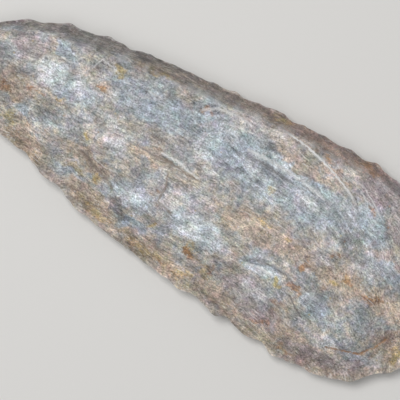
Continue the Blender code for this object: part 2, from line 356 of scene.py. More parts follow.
# the distance from each place to a line through a few points: the least over its straight pieces
def lineDistance(x, y, points):
    best = np.full(x.shape, np.inf)
    for (ax, ay), (bx, by) in zip(points, points[1:]):
        runX, runY = bx - ax, by - ay
        share = np.clip(((x - ax) * runX + (y - ay) * runY) / (runX**2 + runY**2), 0, 1)
        best = np.minimum(best, np.hypot(x - ax - share * runX, y - ay - share * runY))
    return best


# one edge from above: smooth line, length along it, and the line with chips, scallops and noise,
# which push it out along its normal
def edgeLine(stations, chips, outwards, rowName):
    turn = rowTurns(grid["edgePoints"])
    byTurn = [(math.acos(-along), across) for along, across in stations]
    line = np.stack([-halfLength * np.cos(turn), halfWidth * curveThrough(byTurn, turn)], axis=1)
    steps = np.diff(line, axis=0)
    along = np.concatenate([[0.0], np.cumsum(np.hypot(*steps.T))])
    offset = np.zeros_like(along)
    for place, size in chips:
        away = (along - np.interp(place * halfLength, line[:, 0], along)) / (form["chipWidth"] / 2)
        offset += size * halfWidth * np.exp(-(away**2))
    scallopDistance = np.full_like(along, flakeRows["fine"][1] / form["scallopLine"])
    hollow = flakeRow(rowName, scallopDistance, along, along[-1])
    offset -= form["scallopDepth"] * (hollow - hollow.mean()) / hollow.max() * np.sin(turn)
    noiseRow = np.full_like(along, relief["rimRow"] * outwards)
    for cell, size, seed in relief["rimNoise"]:
        offset += size * mm * slopeNoise(along / (cell * mm), noiseRow, seed) * np.sin(turn)
    slope = np.gradient(line, axis=0)
    normal = np.stack([-slope[:, 1], slope[:, 0]], axis=1) * outwards
    normal /= np.linalg.norm(normal, axis=1, keepdims=True)
    return line, along, line + normal * offset[:, None]


# the distance to the smooth edge, how far along it the nearest point is, and its whole length; the
# point moves off the nearest corner by how much nearer one neighbour is than the other
def nearestOn(edge, x, y):
    line, along = edge[:2]
    last = len(along) - 1
    distance, place = [], []
    for xs, ys in zip(np.array_split(x, grid["blocks"]), np.array_split(y, grid["blocks"])):
        gaps = np.hypot(xs[..., None] - line[:, 0], ys[..., None] - line[:, 1])
        nearest = gaps.argmin(axis=-1)
        before, after = np.maximum(nearest - 1, 0), np.minimum(nearest + 1, last)
        gap, gapBefore, gapAfter = (
            np.take_along_axis(gaps, corner[..., None], axis=-1)[..., 0]
            for corner in (nearest, before, after)
        )
        lean = (gapBefore - gapAfter) / np.maximum(gapBefore + gapAfter - 2 * gap, 1e-9)
        distance.append(gap)
        place.append(along[nearest] + np.clip(lean, -1, 1) * (along[after] - along[before]) / 4)
    return np.concatenate(distance), np.concatenate(place), along[-1]


# the rim's height: two sine waves along it, the second a radian ahead, growing with the cube of the
# share across
def rimHeight(x, y, turn):
    wave = np.sin(form["rimTurns"] * x / halfLength)
    wave = wave + form["secondRimShare"] * np.sin(1 + form["secondRimTurns"] * x / halfLength)
    outside = np.clip(np.abs(y) / halfWidth, 0, 1)
    return form["rimHeight"] + form["rimWave"] * wave * np.sin(turn) * outside**3


# the lowest of several faces: minus the log of the sum of falling exponentials
def lowestOf(*heights):
    soft = form["ridgeRounding"]
    return -soft * np.log(sum(np.exp(-height / soft) for height in heights))


# streak coordinates in millimetres: along x, and across it on arcs that bend more on the right of
# one centre than on its left, and wander by a broad noise
def streakPlace(x, y):
    u, w = x / mm, y / mm
    off = u - relief["streakCentre"]
    cell, size, seed = relief["wander"]
    wander = size * slopeNoise(u / cell, w / cell, seed)
    return u, w + off**2 / np.where(off > 0, relief["rightBend"], relief["leftBend"]) + wander


# fine relief in metres: four sizes of noise, two of streaks, and round pits
def fineRelief(x, y, seedShift):
    u, w = x / mm, y / mm
    height = np.zeros_like(x)
    for cell, size, seed in relief["roughness"]:
        height += size * slopeNoise(u / cell, w / cell, seed + seedShift)
    su, sw = streakPlace(x, y)
    for long, wide, size, seed in relief["streaks"]:
        height += size * slopeNoise(su / long, sw / wide, seed + seedShift)
    cell = relief["pitCell"]
    away, number = nearestSpots(u / cell, w / cell, relief["pitSeed"] + seedShift)
    radius = relief["pitRadius"] * (0.5 + number) / cell
    height -= relief["pitDepth"] * number**2 * np.clip(1 - (away / radius) ** 2, 0, 1)
    return height * mm


# marks of the top in metres: a ripple and a crack fall off as a bell on both sides, and the hinged
# step drops at its line and rises again behind it
def markedRelief(x, y):
    u, w = x / mm, y / mm
    height = np.zeros_like(x)
    away = np.hypot(u - ripples["centre"][0], w - ripples["centre"][1])
    for radius, first, last, size, wide in ripples["arcs"]:
        fade = np.clip((u - first) / ripples["fade"], 0, 1) * (w > 0)
        fade *= np.clip((last - u) / ripples["fade"], 0, 1)
        outwards = (away - radius) / wide
        spread = np.where(outwards > 0, ripples["outerSpread"], ripples["innerSpread"])
        height += size * fade * np.exp(-(outwards**2) / spread)
    scar = hingeScar["points"]
    behind = np.interp(u, *np.array(scar).T) - w
    fade = np.clip((u - scar[0][0]) / hingeScar["startFade"], 0, 1)
    fade *= np.clip((scar[-1][0] + hingeScar["beyond"] - u) / hingeScar["endFade"], 0, 1)
    drop = fade * np.clip(behind / hingeScar["drop"], 0, 1)
    height -= hingeScar["depth"] * drop * np.exp(-np.maximum(behind, 0) / hingeScar["fade"])
    for points, depth, wide in cracks:
        height -= depth * np.exp(-((lineDistance(u, w, points) / wide) ** 2))
    return height * mm


# the top: the lowest of crown and flanks, less what the flakes took, plus the fine relief, brought
# down to the rim by a high power of the column share v
def topSurface(x, y, v, turn, upper, lower):
    nearUpper, nearLower = nearestOn(upper, x, y), nearestOn(lower, x, y)
    side = (y / halfWidth - form["crest"]) / (1 - form["crest"])
    fall = np.where(side > 0, form["upperFall"], form["lowerFall"]) * side**2
    crown = (form["thickness"] - form["rimHeight"]) * np.sin(turn) ** form["endFall"] * (1 - fall)
    steepFlank = nearUpper[0] * math.tan(form["steepAngle"])
    gentleFlank = nearLower[0] * math.tan(form["gentleAngle"])
    rise = np.maximum(lowestOf(crown, steepFlank, gentleFlank), 0)
    taken = np.maximum.reduce([
        largeFlakes(x, y, topFlakes, form["rippledFlakes"]),
        flakeRow("steep", *nearUpper),
        flakeRow("broad", *nearLower),
        flakeRow("fine", *nearLower),
    ])
    nibbles = np.maximum.reduce([
        flakeRow("steepNibble", *nearUpper),
        flakeRow("lowerNibble", *nearLower),
        flakeRow("steepSecond", *nearUpper),
    ])
    left = rise - taken - form["nibbleShare"] * nibbles
    left = np.maximum(left, form["leastTopShare"] * rise)
    edgeFade = np.clip(np.minimum(nearUpper[0], nearLower[0]) / (relief["edgeFade"] * mm), 0, 1)
    left = left + (fineRelief(x, y, 0) + markedRelief(x, y)) * edgeFade
    height = rimHeight(x, y, turn) + left * (1 - v ** form["edgeClosing"])
    return height, nearUpper[0], nearLower[0]


# how far outside the three-cornered flat spot a place lies, square to its nearest side
def outsideRest(x, y):
    beyond = x - form["restPlace"] * halfLength - form["restLength"] / 2
    lean = math.atan2(form["restWidth"] / 2, form["restLength"])
    beside = (np.abs(y) - form["restWidth"] / 2) * math.cos(lean) - beyond * math.sin(lean)
    return np.maximum(np.maximum(beside, beyond), 0)


# the underside: flat spot, rise by a power of the share of the way to the edge, bulb and flakes
def underSurface(x, y, turn, upper, lower):
    fromRest = outsideRest(x, y)
    nearUpper, nearLower = nearestOn(upper, x, y), nearestOn(lower, x, y)
    share = fromRest / (fromRest + np.minimum(nearUpper[0], nearLower[0]))
    bulbAway = np.hypot(x - form["bulbPlace"] * halfLength, y) / (form["bulbSpread"] * halfLength)
    bulb = form["bulbHeight"] * np.exp(-(bulbAway**2))
    taken = np.maximum.reduce([
        largeFlakes(x, y, underFlakes, 0),
        flakeRow("underUpper", *nearUpper),
        flakeRow("underLower", *nearLower),
    ])
    rise = rimHeight(x, y, turn) * share ** form["underFullness"]
    closing = share ** form["underClosing"]
    height = np.maximum(rise - bulb, form["leastUnderShare"] * rise) + taken * (share - closing)
    fade = np.clip(share * relief["restFade"], 0, 1) * (1 - closing)
    height = height - relief["underShare"] * fineRelief(x, y, relief["underSeeds"]) * fade
    return np.maximum(height, form["leastUnderShare"] * rise), nearUpper[0], nearLower[0]


# a grid of places ruled from edge to edge: lower times what is left of the share plus upper times it
def ruledSheet(turn, v, upper, lower):
    share = (v[None, :, None] + 1) / 2
    edgeTurns = rowTurns(grid["edgePoints"])
    high, low = (
        np.stack([np.interp(turn, edgeTurns, edge[2][:, i]) for i in (0, 1)], axis=-1)
        for edge in (upper, lower)
    )
    places = low[:, None] * (1 - share) + high[:, None] * share
    return places[..., 0], places[..., 1]


# a grid's running mean along one way and then the other, weighted by a raised cosine
def smoothed(values, reach):
    kernel = np.hanning(2 * reach + 3)[1:-1]
    kernel /= kernel.sum()
    for axis in (0, 1):
        margins = [(reach, reach) if a == axis else (0, 0) for a in (0, 1)]
        padded = np.pad(values, margins, mode="edge")
        values = sum(k * np.take(padded, range(i, i + values.shape[axis]), axis=axis)
                     for i, k in enumerate(kernel))
    return values


# patches of colour: x, y, half length and half width in millimetres, strength, and degrees where a
# patch is turned
patches = {
    "blue": [
        (10, 8, 22, 5.5, 1, 2), (-18, 7, 12, 4, 0.9, 4), (-38.5, 6.8, 3.6, 1.6, 1, -20),
        (-34, 1, 7, 3.5, 0.7), (-33, -6.5, 6, 2, 0.5), (-40.5, -8, 2.5, 1.2, 0.8),
        (2, -9.5, 8, 3.2, 0.8, 3), (-12, -10.5, 5, 3, 0.8), (18, -8.6, 5, 1.6, 0.9, 8),
        (-9, 12, 4, 3, 0.9, 40), (31, 11, 6, 3, 0.9, -30), (36, 4, 5, 2, 0.5),
        (31, -9, 5, 3, 0.7, -20), (41, -7, 4, 3, 0.5), (-26, -13.5, 5, 1.6, 0.6),
        (-9, -15, 3.5, 1.6, 0.8), (-48, 1, 3, 3, 0.5), (40, 4.5, 4, 2.2, 0.8),
    ],
    "warm": [
        (-44, -4.4, 5, 3, 1, -8), (-37, -12, 5, 2.5, 0.7, -10), (-23, -9, 7, 1.8, 0.9, -6),
        (-13, -1.6, 6, 1.6, 0.8, 3), (14, -2.5, 14, 3.4, 0.8, 3), (31, -2, 8, 3.4, 0.9, 2),
        (43, -1, 6, 4, 0.7), (-3, -18, 9, 2.4, 1, -4), (-19, -16, 7, 2.6, 1, -8),
        (-36, -14.4, 5, 1.6, 1, -6), (2, -3.4, 6, 2, 0.4), (16, -18, 12, 2.8, 0.7),
        (26, -15, 3, 3.4, 0.9, 60), (33, -18, 9, 2.6, 0.7, 8), (48, -8, 3.5, 5, 0.9),
        (6, 15.5, 6, 1.8, 0.6), (-22, 13.4, 6, 1.3, 0.9, 10), (14, 13, 9, 1.8, 0.8, -4),
        (20, 15, 5, 1.2, 0.8, -10), (30, -17, 6, 2, 0.7, 8), (40, 17, 9, 3, 0.7, -14),
        (52, 4, 5, 6, 0.6), (-28, 5, 2.2, 1.6, 0.6),
    ],
    "purple": [
        (18, -14, 7, 2.6, 0.9), (-46, 3.6, 4, 2.4, 0.9, 20), (38, 7, 4, 1.6, 0.5, 10),
        (36, -18.5, 9, 2.4, 0.9, 8), (28, 16.5, 5, 1.8, 0.8, -20), (33, 17.5, 9, 3.2, 1, -12),
        (22, -17, 6, 2.5, 0.8), (44, -16, 4, 3, 0.8, 40), (36, 13, 6, 2.4, 0.6, -20),
    ],
    "pale": [
        (-39.5, 1.4, 4, 2.2, 1, -8), (-33, 2, 1.4, 2, 1), (-26.5, 5, 2, 2.2, 0.8),
        (-24, 0, 3.5, 1.5, 0.7), (-20.5, -3.5, 3, 1.4, 0.8, -10), (-5.4, 5, 2.2, 4.2, 0.6, -16),
        (-2.4, 11, 2.4, 4, 0.5, -16), (-1, 2, 2.4, 1.2, 0.8), (3, 15.6, 7, 1.5, 0.6),
        (21, 17, 4, 1.3, 0.6, -10), (12, 10.8, 9, 0.9, 0.7, -5), (18, 7.6, 5, 1.6, 0.9, 4),
        (8, 7, 4, 1.2, 0.6, 10), (26, 9.8, 4, 1.4, 0.5, -20), (3, -9.6, 6.5, 2.8, 1, 6),
        (-5, -7.4, 3, 2.4, 0.7), (-12.5, -10.5, 3.4, 2.4, 0.9), (18, -8.9, 3.8, 0.9, 1, 8),
        (28.8, -7.8, 1.6, 1.4, 1), (27, -0.2, 3, 1.5, 0.7), (36.5, -13, 2.6, 0.9, 1),
        (48, -11.5, 1.4, 1.6, 0.9), (35, 2.2, 3, 1.2, 0.7), (31, -12, 2.5, 1.4, 0.5),
        (-44, 7.6, 2.2, 0.8, 0.6, 25), (-1, -4, 5, 2, 0.6), (-30, -6.5, 2.5, 1, 0.4),
        (20, -13.5, 5, 2, 0.7), (12, 5.6, 4, 1.6, 0.7), (28, -14, 3, 1.2, 0.5),
    ],
    "dark": [
        (-34, 12.3, 5.5, 1.5, 1, 14), (-45, 8.8, 5.5, 1.3, 0.9, 28), (-37.5, 9, 3, 0.9, 0.8, 10),
        (-49, 5.5, 3, 1.6, 0.8, 30), (-30.5, 10, 1.6, 1, 0.8), (-35.2, 4, 0.9, 2.2, 0.7, 10),
        (-48, -1.4, 4.5, 2.6, 1), (-34, 8, 4, 2, 0.4, 10), (-46, 2.4, 3.4, 2, 0.7),
        (-15, 2.5, 4.5, 2, 0.4), (15, 1.8, 7, 1.2, 0.45, 3), (-14, 12, 6, 1.8, 0.5, 8),
        (-8, 12.5, 3, 1.6, 0.5, 30), (-36, -7, 3, 1.4, 0.4), (-20, 9.5, 11, 3.6, 0.45, 5),
        (-46, -7, 4, 2, 0.5, -30), (36, 12, 6, 3, 0.45, -20), (-24, 3.5, 8, 1.6, 0.3, 4),
        (12, 18.4, 10, 1.2, 0.4, 2), (-22, -17.6, 8, 1, 0.5, -10), (-12, 5, 2.4, 1.6, 0.6),
        (-7.4, 14, 2, 1.6, 0.8, 50), (0, 9, 3, 0.8, 0.7, 8), (2, 5, 4.5, 1, 0.8, 6),
        (6, 12.6, 5, 0.8, 0.7, 2), (15, 12, 4, 0.7, 0.6, -8), (27, 5, 4, 1.2, 0.7, 12),
        (-11, -1, 3, 0.9, 0.9), (-21.5, -9.6, 5, 0.9, 0.9, -8), (-13.5, -14, 2.6, 1.2, 1, -30),
        (-24, -12.5, 4, 1.2, 0.5, -10), (10, -7, 3, 1.2, 0.5), (-36, -5.5, 3, 0.9, 0.6),
        (25.4, -8.4, 0.7, 0.5, 0.9), (39.8, -2, 1.5, 0.5, 0.9, 10), (-26, 15, 7, 1.1, 1, 10),
        (-15, 16.8, 6, 0.9, 0.9, 9), (15, 20.5, 7, 0.9, 0.9, 2), (-37, 9.8, 6, 2.1, 1, 12),
        (-26, 11.6, 5, 1.6, 0.8, 12), (-16, 13.6, 5, 1.4, 0.5, 8), (-53, -2, 4, 4, 0.8),
        (43, -5.5, 3, 2, 0.6), (-5, -19.6, 5, 0.8, 0.5), (-5, -16.6, 5, 1, 0.3),
        (15, -18, 5, 1.2, 0.4), (34, 3, 6, 2, 0.4), (41, 4.5, 3, 2, 0.4), (-10, 9, 5, 1.6, 0.4),
        (20, 0, 5, 1.6, 0.4), (12, -14, 3, 0.9, 0.3), (16, -20, 6, 1.2, 0.4), (42, 2, 2.4, 2, 0.7),
        (46.5, -6, 1.8, 2.6, 0.8, 10), (41.5, -13.6, 3, 0.6, 0.4, 14), (34, 20, 6, 1.4, 0.7, -12),
        (39, -17, 4, 1.6, 0.3, 20), (-7.6, -6, 0.9, 2, 0.6, 10), (-17, -14.6, 3, 0.8, 0.5, -20),
        (20, -6.6, 3.2, 0.4, 0.6, 6), (2, -15.8, 5, 0.9, 0.5), (8.5, -14.2, 1.6, 0.8, 0.9, -20),
        (-30, 8.4, 3, 1, 0.5, 20), (-38, 4.6, 3, 0.9, 0.5, 10), (-25, 9, 2, 0.8, 0.6, -20),
    ],
    "rust": [
        (24.4, -3.8, 1.7, 1.2, 1, 20), (25.4, -8.3, 1.6, 1.1, 1, -30), (39.4, -1.9, 2.4, 1, 1, 15),
        (33.2, -1, 0.9, 0.7, 0.9), (-7.6, -6.4, 0.8, 0.7, 0.9), (-10.2, -1, 1.4, 0.7, 0.6),
        (2.8, -14, 1.7, 1, 1, -20), (9.5, -14.4, 1.4, 0.7, 0.5), (23.4, -12.6, 1.4, 1, 0.6),
        (0, -19, 2.6, 0.9, 0.5), (24, -17.6, 1.8, 1.1, 0.6), (-13, 0.3, 0.9, 0.6, 0.6),
        (-40.5, -3.4, 2, 0.8, 0.8), (-46, -6, 1.6, 1.6, 0.7), (17.5, 17.4, 1.4, 0.6, 0.6, -10),
        (25, 20.2, 3, 0.8, 0.6), (15, 20, 4, 0.7, 0.25, 2), (-28.6, 4.6, 1, 0.6, 0.8, 30),
        (30, 13.5, 1.2, 0.7, 0.6), (28.5, 2, 1.2, 0.7, 0.6, 20), (47, -6.4, 1.2, 1.6, 0.6),
        (-8.4, 11.8, 1, 0.6, 0.7), (43.8, -11.6, 1.6, 0.6, 0.6, 30), (31, -20, 3, 0.8, 0.5),
    ],
    "ochre": [
        (-27.7, 9.2, 1.3, 1.1, 0.9, 40), (-26.4, -5.5, 0.8, 0.6, 1), (-5.6, -12.9, 0.9, 0.7, 0.8),
        (21.7, -9, 1.1, 0.8, 0.9), (-21, 12.8, 3.6, 0.8, 0.7, 8), (5.5, 19.2, 2.6, 1, 0.6, 10),
        (-42, -10.4, 1.6, 0.7, 0.5), (31.5, -3.2, 1.8, 0.9, 0.8), (50.5, -8.5, 1.5, 2.4, 0.8),
        (-34.6, -1.6, 1.2, 0.6, 0.7), (13, -0.6, 1.6, 0.7, 0.6), (-5, -18.4, 5, 1.8, 0.5),
        (-24.5, -12, 1.6, 1, 0.6), (10.8, 5.4, 1, 0.8, 0.5), (-17, -17.2, 5, 1.2, 0.5, -8),
        (5, -18, 2.4, 1.4, 0.5), (-20.5, -11.2, 1.2, 0.7, 0.7), (18.8, -1.2, 1.2, 0.6, 0.6),
        (3.6, -13.2, 2, 1.4, 0.5), (8.2, -15.2, 2.2, 1.2, 0.6, -20),
    ],
}

# how wide the stained margin along the steep edge is, as (x, width) in millimetres
marginWidths = [
    (-60, 1.4), (-50, 1.5), (-40, 3.0), (-30, 3.0), (-22, 3.4), (-14, 3.8), (-5, 3.7), (1, 4.4),
    (11, 5.2), (21, 5.0), (27, 3.6), (32, 1.8), (60, 1.4),
]
lowerMargin = 3.6

# how the patches are bent out of their plain shape: cell, shift, seed
patchBends = [(2.6, 1.1, 71), (1.1, 0.55, 73)]


# each kind of patch as one number: the largest of its bumps, each falling as the exponent of minus
# the cube of the distance over its size, at places bent by noise
def patchStrength(kind, x, y):
    strength = np.zeros_like(x)
    u, w = x / mm, y / mm
    bentU, bentW = u.copy(), w.copy()
    for cell, size, seed in patchBends:
        bentU += size * slopeNoise(u / cell, w / cell, seed)
        bentW += size * slopeNoise(u / cell, w / cell, seed + 1)
    for px, py, long, wide, peak, *turned in patches[kind]:
        cos, sin = direction(*turned)
        dx, dy = bentU - px, bentW - py
        squared = ((dx * cos + dy * sin) / long) ** 2 + ((dy * cos - dx * sin) / wide) ** 2
        strength = np.maximum(strength, peak * np.exp(-(squared ** 1.5)))
    return strength


# two grids side by side, top first
def joined(top, under):
    return np.concatenate([top, under], axis=1)


# the whole surface as rings of points, over the top and back underneath, with numbers for its looks
def bladeSurface():
    upper = edgeLine(upperLine, upperChips, 1, "steep")
    lower = edgeLine(lowerLine, lowerChips, -1, "fine")
    turn = rowTurns(grid["rows"] + 2)[1:-1]
    column = turn[:, None]
    over = columnShares(grid["topColumns"])
    x, y = ruledSheet(turn, over, upper, lower)
    z, fromUpper, fromLower = topSurface(x, y, over, column, upper, lower)
    back = columnShares(grid["underColumns"])[-2:0:-1]
    ux, uy = ruledSheet(turn, back, upper, lower)
    uz, underUpper, underLower = underSurface(ux, uy, column, upper, lower)
    points = np.stack([joined(x, ux), joined(y, uy), joined(z, uz)], axis=-1)
    # the ridge number: how far the surface stands above its smoothed height, turned over underneath;
    # the finish paints highlights and shade from it
    ridge = joined(z - smoothed(z, grid["topReach"]), smoothed(uz, grid["underReach"]) - uz)
    fromUpper = joined(fromUpper, underUpper) / mm
    fromLower = joined(fromLower, underLower) / mm
    topSide = joined(np.ones_like(x), np.full_like(ux, relief["underShare"]))
    stained = np.interp(points[..., 0] / mm, *np.array(marginWidths).T)
    looks = {
        "ridge": ridge / (relief["ridgeHeight"] * mm),
        "rim": np.minimum(fromUpper, fromLower),
        "upperMargin": (1 - fromUpper / stained) * topSide,
        "lowerMargin": (1 - fromLower / lowerMargin) * topSide,
    }
    for kind in patches:
        looks[kind] = patchStrength(kind, points[..., 0], points[..., 1]) * topSide
    return points, looks


# quads between neighbouring rings and triangles to a point at each end, wound to face outwards
def bladeFaces(rows, columns):
    i, j = np.meshgrid(np.arange(rows - 1), np.arange(columns), indexing="ij")
    following = (j + 1) % columns
    quads = np.stack([i * columns + j, (i + 1) * columns + j,
                      (i + 1) * columns + following, i * columns + following], axis=-1).reshape(-1, 4)
    ring = np.arange(columns)
    after = (ring + 1) % columns
    leftPole, rightPole = rows * columns, rows * columns + 1
    last = (rows - 1) * columns
    leftCap = np.stack([np.full(columns, leftPole), ring, after], axis=-1)
    rightCap = np.stack([np.full(columns, rightPole), last + after, last + ring], axis=-1)
    return quads.tolist() + leftCap.tolist() + rightCap.tolist()


# the blade as one closed mesh: its rings, a point at each end, and the numbers for its looks
def buildBlade():
    points, looks = bladeSurface()
    rows, columns = points.shape[:2]
    ends = [(along * halfLength, across * halfWidth, form["rimHeight"])
            for along, across in (leftEnd, rightEnd)]
    vertices = np.concatenate([points.reshape(-1, 3), np.array(ends)])
    mesh = bpy.data.meshes.new("flintStone")
    mesh.from_pydata(vertices.tolist(), [], bladeFaces(rows, columns))
    for name, values in looks.items():
        attribute = mesh.attributes.new(name, "FLOAT", "POINT")
        flat = np.concatenate([values.ravel(), values[[0, -1]].mean(axis=1)])
        attribute.data.foreach_set("value", flat.astype(np.float32))
    u, w = streakPlace(vertices[:, 0], vertices[:, 1])
    for name, across in (("grain", w), ("place", vertices[:, 1] / mm)):
        attribute = mesh.attributes.new(name, "FLOAT_VECTOR", "POINT")
        place = np.stack([u, across, vertices[:, 2] / mm], axis=-1)
        attribute.data.foreach_set("vector", place.astype(np.float32).ravel())
    mesh.shade_smooth()
    mesh.set_sharp_from_angle(angle=grid["sharpAngle"])
    mesh.validate()
    made = bpy.data.objects.new("flintStone", mesh)
    bpy.context.scene.collection.objects.link(made)
    print("the blade has", len(mesh.polygons), "faces")
    return made


# the flint's material: the functions that follow add to its nodes
flint = bpy.data.materials.new("mottledFlint")
flint.use_nodes = True
tree = flint.node_tree


# one node with its inputs: a socket is linked, anything else is set
def addNode(kind, inputs=None, **options):
    made = tree.nodes.new("ShaderNode" + kind)
    for name, value in options.items():
        setattr(made, name, value)
    for key, value in (inputs or {}).items():
        if isinstance(value, bpy.types.NodeSocket):
            tree.links.new(value, made.inputs[key])
        else:
            made.inputs[key].default_value = value
    return made


# arithmetic on two sockets or numbers
def compute(operation, first, second=0.0, clamp=False):
    made = addNode("Math", {0: first, 1: second}, operation=operation, use_clamp=clamp)
    return made.outputs[0]


# the product of two sockets or numbers
def times(first, second, clamp=False):
    return compute("MULTIPLY", first, second, clamp)


# half the sum of two sockets
def meanOf(first, second):
    return times(compute("ADD", first, second), 0.5)


# arithmetic on vectors, its inputs given by number or name
def computeVector(operation, inputs, output=0):
    return addNode("VectorMath", inputs, operation=operation).outputs[output]


# a straight rise from 0 to 1 between two values, held at both ends
def ramp(value, low, high):
    made = addNode("MapRange", {"Value": value, "From Min": low, "From Max": high})
    return made.outputs["Result"]


# one colour laid over another by a factor
def blendColour(factor, under, over, mode="MIX"):
    made = addNode("Mix", data_type="RGBA", blend_type=mode, clamp_result=False)
    for socket, value in ((made.inputs[0], factor), (made.inputs[6], under), (made.inputs[7], over)):
        if isinstance(value, bpy.types.NodeSocket):
            tree.links.new(value, socket)
        else:
            socket.default_value = value
    return made.outputs[2]


# a noise from 0 to 1, its size in the units of the place
def noiseOf(place, size, detail, rough, output="Fac"):
    inputs = {"Vector": place, "Scale": 1 / size, "Detail": detail, "Roughness": rough}
    return addNode("TexNoise", inputs).outputs[output]


# a noise colour less a half
def centredNoise(place, size, detail, rough):
    colour = noiseOf(place, size, detail, rough, "Color")
    return computeVector("SUBTRACT", {0: colour, 1: (0.5, 0.5, 0.5)})


# a place turned about z and then drawn out along x
def drawnOut(place, share, turn=0.0):
    inputs = {"Vector": place, "Rotation": (0, 0, turn), "Scale": (share, 1.0, 1.0)}
    return addNode("Mapping", inputs).outputs[0]


# numbers kept on the mesh's points
def attributeOf(name, output="Fac"):
    return addNode("Attribute", attribute_name=name).outputs[output]


# finish of the flint: linear colours, then noises as (size in millimetres, detail, roughness), cuts
# as (level of nothing, level of all), and the layers with their sizes and strengths
flintLooks = {
    "blueGrey": (0.365, 0.380, 0.400, 1),
    "tan": (0.445, 0.390, 0.325, 1),
    "blue": (0.362, 0.422, 0.478, 1),
    "warm": (0.455, 0.350, 0.265, 1),
    "purple": (0.380, 0.322, 0.325, 1),
    "brown": (0.240, 0.185, 0.148, 1),
    "greyBrown": (0.215, 0.183, 0.164, 1),
    "redBrown": (0.320, 0.198, 0.150, 1),
    "earth": (0.345, 0.262, 0.185, 1),
    "rust": (0.345, 0.180, 0.080, 1),
    "ochre": (0.450, 0.335, 0.140, 1),
    "pale": (0.660, 0.680, 0.710, 1),
    "white": (0.860, 0.850, 0.840, 1),
    "dark": (0.115, 0.108, 0.112, 1),
    "breakNoise": (1.3, 4.0, 0.7),
    "driftNoise": (3.6, 4.0, 0.65),
    "fineNoise": (0.55, 3.0, 0.7),
    "wobbleNoise": (1.1, 3.0, 0.7),
    "streakNoise": (3.6, 3.0, 0.6),
    "hueNoise": (2.0, 0.55),
    "shadeNoise": (1.0, 0.5),
    "fleckNoise": (2.0, 0.6),
    "glossNoise": (0.8, 3.0, 0.6),
    "gritNoise": (0.55, 4.0, 0.65),
    "lineNoise": (0.5, 2.0, 0.6),
    "grainShare": 0.22,
    "scratchShare": 0.09,
    "crossShare": 0.25,
    "crossTurn": -0.65,
    "groundCut": (0.40, 0.60),
    "zoneCut": (0.30, 0.60),
    "spotCut": (0.15, 0.75),
    "streakCut": (0.44, 0.56),
    "lineCut": (0.36, 0.50),
    "arcCut": (0.30, 0.44),
    "rimCut": (0.40, 0.10),
    "rimBreakCut": (0.46, 0.62),
    "drawnAbove": (4.0, 4.75),
    "breakUp": 1.3,
    "spotBreakUp": 2.0,
    "fadeIn": 4.0,
    "core": 0.3,  # the share of a line or a stain that has its full strength
    "zones": [("blue", 0.80), ("warm", 0.75), ("purple", 0.80)],
    # the steep edge's stain is grey-brown first, then each of these from one x to another
    "stainChanges": [("brown", -32.0, -20.0), ("redBrown", -6.0, 12.0), ("purple", 27.0, 33.0)],
    "margins": [("upperMargin", (0.0, 0.60), 0.80), ("lowerMargin", (0.0, 0.80), 0.60)],
    "spots": [("pale", 0.55), ("ochre", 0.85), ("rust", 0.85), ("dark", 0.50)],
    "hues": [(3.2, 0.22), (1.1, 0.26)],
    "shades": [(5.5, 1.2), (2.2, 0.60), (0.9, 0.75), (0.34, 1.9)],
    "grainShades": [(0.26, 1.0), (0.7, 0.8), (1.6, 1.0)],
    "crossShades": [(0.30, 0.9)],
    "leastShade": 0.2,
    "brokenKinds": ("white", "rust"),
    # scattered stains: cell, share of the cells, reach, strength
    "stains": [("rust", 1.9, 0.12, 0.17, 0.6), ("ochre", 1.7, 0.13, 0.18, 0.6),
               ("dark", 1.0, 0.40, 0.16, 0.9), ("pale", 0.9, 0.25, 0.24, 0.5)],
    # flecks: on scratches or on the grain, size, kind, cut, strength
    "flecks": [(False, 0.22, "pale", (0.60, 0.70), 0.45), (False, 0.22, "dark", (0.40, 0.30), 0.45),
               (True, 0.26, "white", (0.57, 0.66), 0.40), (True, 0.32, "dark", (0.42, 0.33), 0.34)],
    "rimAmount": 0.20,
    # painted highlight on ridges and painted shade in hollows: colour, cut of the ridge number,
    # strength
    "ridges": [("pale", (0.5, 2.2), 0.30), ("dark", (-0.5, -2.2), 0.35)],
    "leastRoughness": 0.34,
    "roughnessSwing": 0.30,
    "gritHeight": 0.12 * mm,
    "lineHeight": 0.07 * mm,
    "refraction": 1.54,
}


# one of the finish's colours over another, by a factor times an amount
def overlaid(under, kind, factor, amount):
    return blendColour(times(factor, amount), under, flintLooks[kind])


# numbers that swing about 1: the noise colour less a half, times a strength, plus 1
def swingColour(place, size, strength):
    centred = centredNoise(place, size, *flintLooks["hueNoise"])
    scaled = computeVector("SCALE", {0: centred, "Scale": strength})
    return computeVector("ADD", {0: scaled, 1: (1, 1, 1)})


# one number that swings about 1: each noise less a half, times its strength, all multiplied
def swingShade(layers):
    shade = 1.0
    for place, size, strength in layers:
        swing = compute("SUBTRACT", noiseOf(place, size, *flintLooks["shadeNoise"]), 0.5)
        swing = compute("ADD", times(swing, strength), 1.0)
        shade = times(shade, compute("MAXIMUM", swing, flintLooks["leastShade"]))
    return shade


# a patch with a ragged edge: its strength plus a noise less a half, cut between two levels, and
# nothing where its own strength is nought
def ragged(name, noise, cut, amount=flintLooks["breakUp"]):
    own = attributeOf(name)
    swing = times(compute("SUBTRACT", noise, 0.5), amount)
    inside = ramp(compute("ADD", own, swing), *cut)
    return times(inside, times(own, flintLooks["fadeIn"], clamp=True))


# one piece of a line: how near a place lies to it, 1 at its core and 0 from its width outwards
def nearPiece(place, first, last, width):
    start = computeVector("SUBTRACT", {0: place, 1: (*first, 0)})
    run = (last[0] - first[0], last[1] - first[1], 0)
    along = computeVector("DOT_PRODUCT", {0: start, 1: run}, "Value")
    share = compute("DIVIDE", along, run[0] ** 2 + run[1] ** 2, clamp=True)
    foot = computeVector("SCALE", {0: run, "Scale": share})
    away = computeVector("DISTANCE", {0: start, 1: foot}, "Value")
    return ramp(away, width, width * flintLooks["core"])


